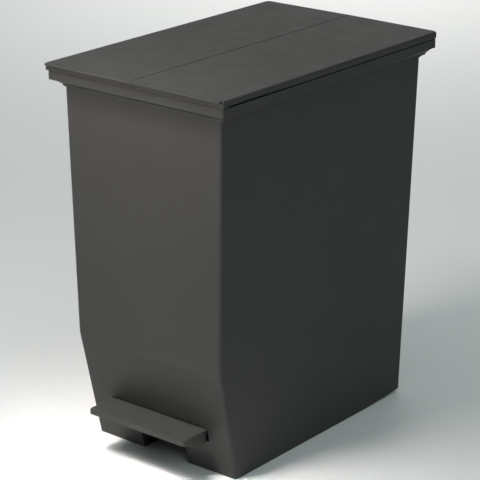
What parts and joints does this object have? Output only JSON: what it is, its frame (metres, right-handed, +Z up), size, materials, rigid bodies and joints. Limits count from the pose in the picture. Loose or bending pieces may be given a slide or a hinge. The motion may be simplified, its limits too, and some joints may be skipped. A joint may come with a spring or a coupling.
{
  "type": "pedal trash can",
  "caption": "Upright rectangular pedal bin whose side-hinged lids open together when a foot lever lifts a rod in the rear wall.",
  "frame": {"origin": "on the floor under the middle of the top frame", "axes": "+Z up, -Y towards the pedal at the front, +X to the right seen from the front"},
  "size_m": [0.273, 0.4311, 0.4919],
  "materials": {
    "bin_plastic": "moulded, semi-matt",
    "frame_plastic": "moulded, semi-matt",
    "lid_plastic": "moulded, semi-matt",
    "pedal_plastic": "moulded, fine grain",
    "lever_plastic": "moulded, plain",
    "mechanism_plastic": "moulded, plain",
    "pin_steel": "zinc plated",
    "cap_plastic": "moulded, plain",
    "screw_steel": "zinc plated",
    "bumper_rubber": "moulded rubber",
    "wheel_plastic": "moulded, plain"
  },
  "bodies": {
    "bin": {"bin_body": "bin_plastic", "top_frame": "frame_plastic", "rear_cover": "bin_plastic", "rear_cover_screws": "screw_steel", "rod_guide_lower": "mechanism_plastic", "rod_guide_middle": "mechanism_plastic", "rod_guide_upper": "mechanism_plastic", "pedal_axle": "pin_steel", "pedal_axle_caps": "cap_plastic", "wheel_axle": "pin_steel", "wheel_axle_caps": "cap_plastic", "hinge_pin_front_left": "pin_steel", "hinge_pin_front_right": "pin_steel", "hinge_pin_rear_left": "pin_steel", "hinge_pin_rear_right": "pin_steel", "lid_bumpers": "bumper_rubber"},
    "pedal": {"pedal_tread": "pedal_plastic", "pedal_lever": "lever_plastic", "tread_screws": "screw_steel"},
    "lifter": {"push_rod": "mechanism_plastic", "rod_foot": "mechanism_plastic", "lift_yoke": "mechanism_plastic", "yoke_screw": "screw_steel"},
    "right_lid": {"lid_right": "lid_plastic", "crank_right": "mechanism_plastic", "crank_pin_right": "pin_steel", "crank_screws_right": "screw_steel"},
    "left_lid": {"lid_left": "lid_plastic", "crank_left": "mechanism_plastic", "crank_pin_left": "pin_steel", "crank_screws_left": "screw_steel"},
    "right_wheel": {"wheel_right": "wheel_plastic"},
    "left_wheel": {"wheel_left": "wheel_plastic"}
  },
  "joints": [
    {"name": "right_lid_hinge", "type": "hinge", "parent": "bin", "child": "right_lid", "pos_m": [0.1265, 0, 0.4765], "axis": [0, 1, 0], "range_deg": [0, 75]},
    {"name": "left_lid_hinge", "type": "hinge", "parent": "bin", "child": "left_lid", "pos_m": [-0.1265, 0, 0.4765], "axis": [0, -1, 0], "range_deg": [0, 75]},
    {"name": "pedal_pivot", "type": "hinge", "parent": "bin", "child": "pedal", "pos_m": [0, 0, 0.038], "axis": [1, 0, 0], "range_deg": [0, 7.01]},
    {"name": "rod_slide", "type": "slide", "parent": "bin", "child": "lifter", "axis": [0, 0, 1], "range_m": [0, 0.02205]},
    {"name": "right_wheel_spin", "type": "hinge", "parent": "bin", "child": "right_wheel", "pos_m": [0.0915, 0.16, 0.0165], "axis": [1, 0, 0], "continuous": true},
    {"name": "left_wheel_spin", "type": "hinge", "parent": "bin", "child": "left_wheel", "pos_m": [-0.0915, 0.16, 0.0165], "axis": [1, 0, 0], "continuous": true}
  ],
  "couplings": [
    {"joint": "left_lid_hinge", "follows": "right_lid_hinge", "ratio": 1},
    {"joint": "pedal_pivot", "follows": "right_lid_hinge", "ratio": 0.093333},
    {"joint": "rod_slide", "follows": "right_lid_hinge", "m_per_rad": 0.016807}
  ]
}
